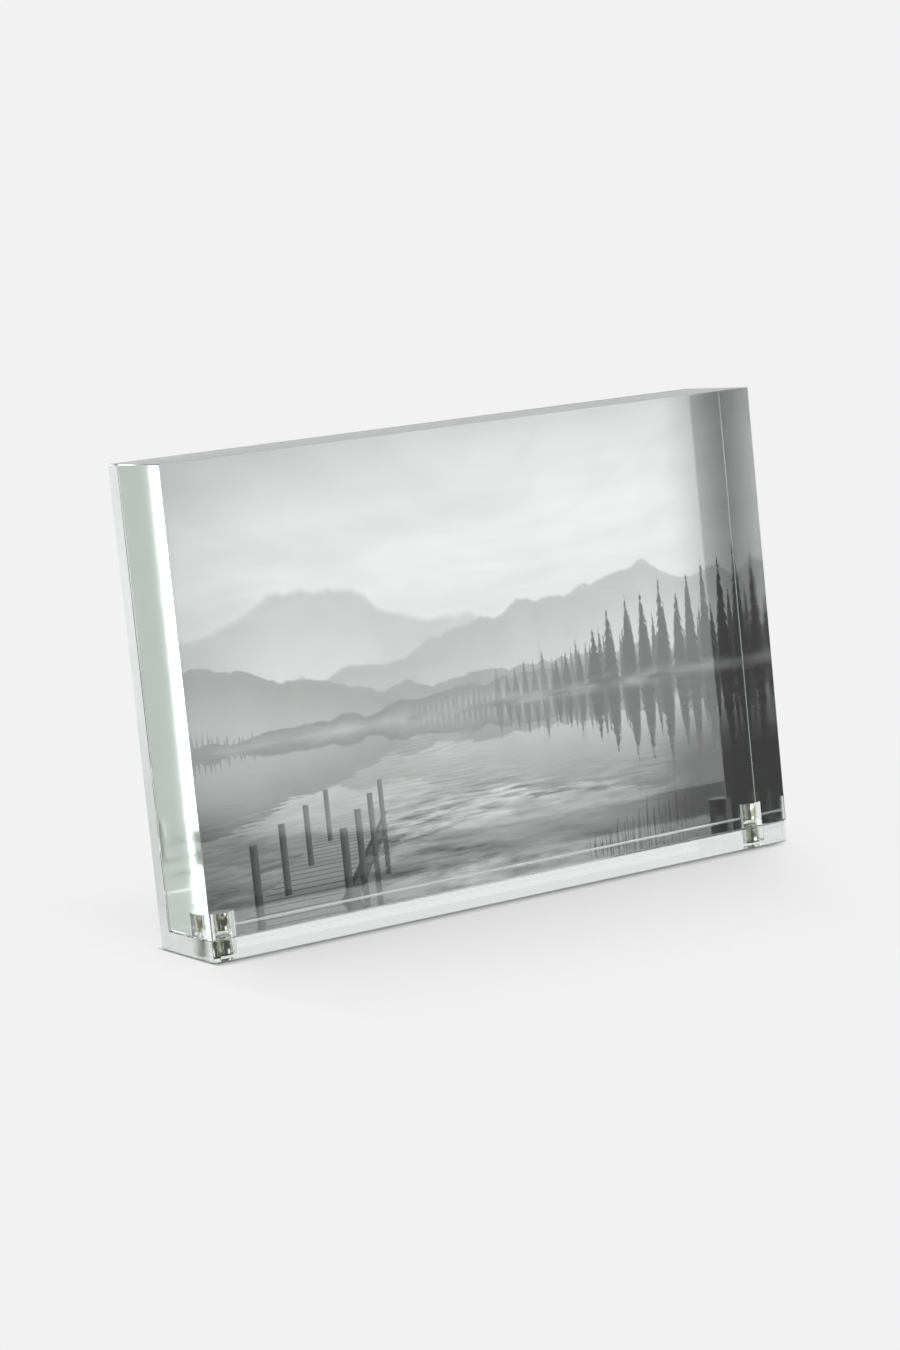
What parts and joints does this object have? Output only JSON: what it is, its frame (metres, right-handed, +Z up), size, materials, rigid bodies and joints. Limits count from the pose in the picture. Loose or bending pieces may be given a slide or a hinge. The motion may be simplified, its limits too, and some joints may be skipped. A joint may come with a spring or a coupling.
{
  "type": "acrylic block picture frame",
  "caption": "Freestanding clear block picture frame: a thick acrylic block with magnets in its underside clamps a landscape print against an L shaped acrylic stand.",
  "frame": {"origin": "middle of the footprint, on the surface that the frame stands on", "axes": "+X along the picture to the viewer's right, +Y from the picture's front towards the back panel, +Z up"},
  "size_m": [0.152, 0.0258, 0.1069],
  "materials": {
    "clear_block": "clear cast acrylic, polished on all faces",
    "clear_sheet": "clear acrylic sheet, polished edges",
    "print": "black and white print on coated photo paper, white on the back",
    "magnet": "bright nickel plating"
  },
  "bodies": {
    "stand": {"base_plate": "clear_sheet", "back_panel": "clear_sheet", "base_magnet_left": "magnet", "base_magnet_right": "magnet"},
    "block": {"front_block": "clear_block", "block_magnet_left": "magnet", "block_magnet_right": "magnet"},
    "print": {"photo_print": "print"}
  },
  "joints": [
    {"name": "block_lift", "type": "slide", "parent": "stand", "child": "block", "axis": [0, 0, 1], "range_m": [0, 0.105]},
    {"name": "print_lift", "type": "slide", "parent": "stand", "child": "print", "axis": [0, 0, 1], "range_m": [0, 0.105]}
  ]
}
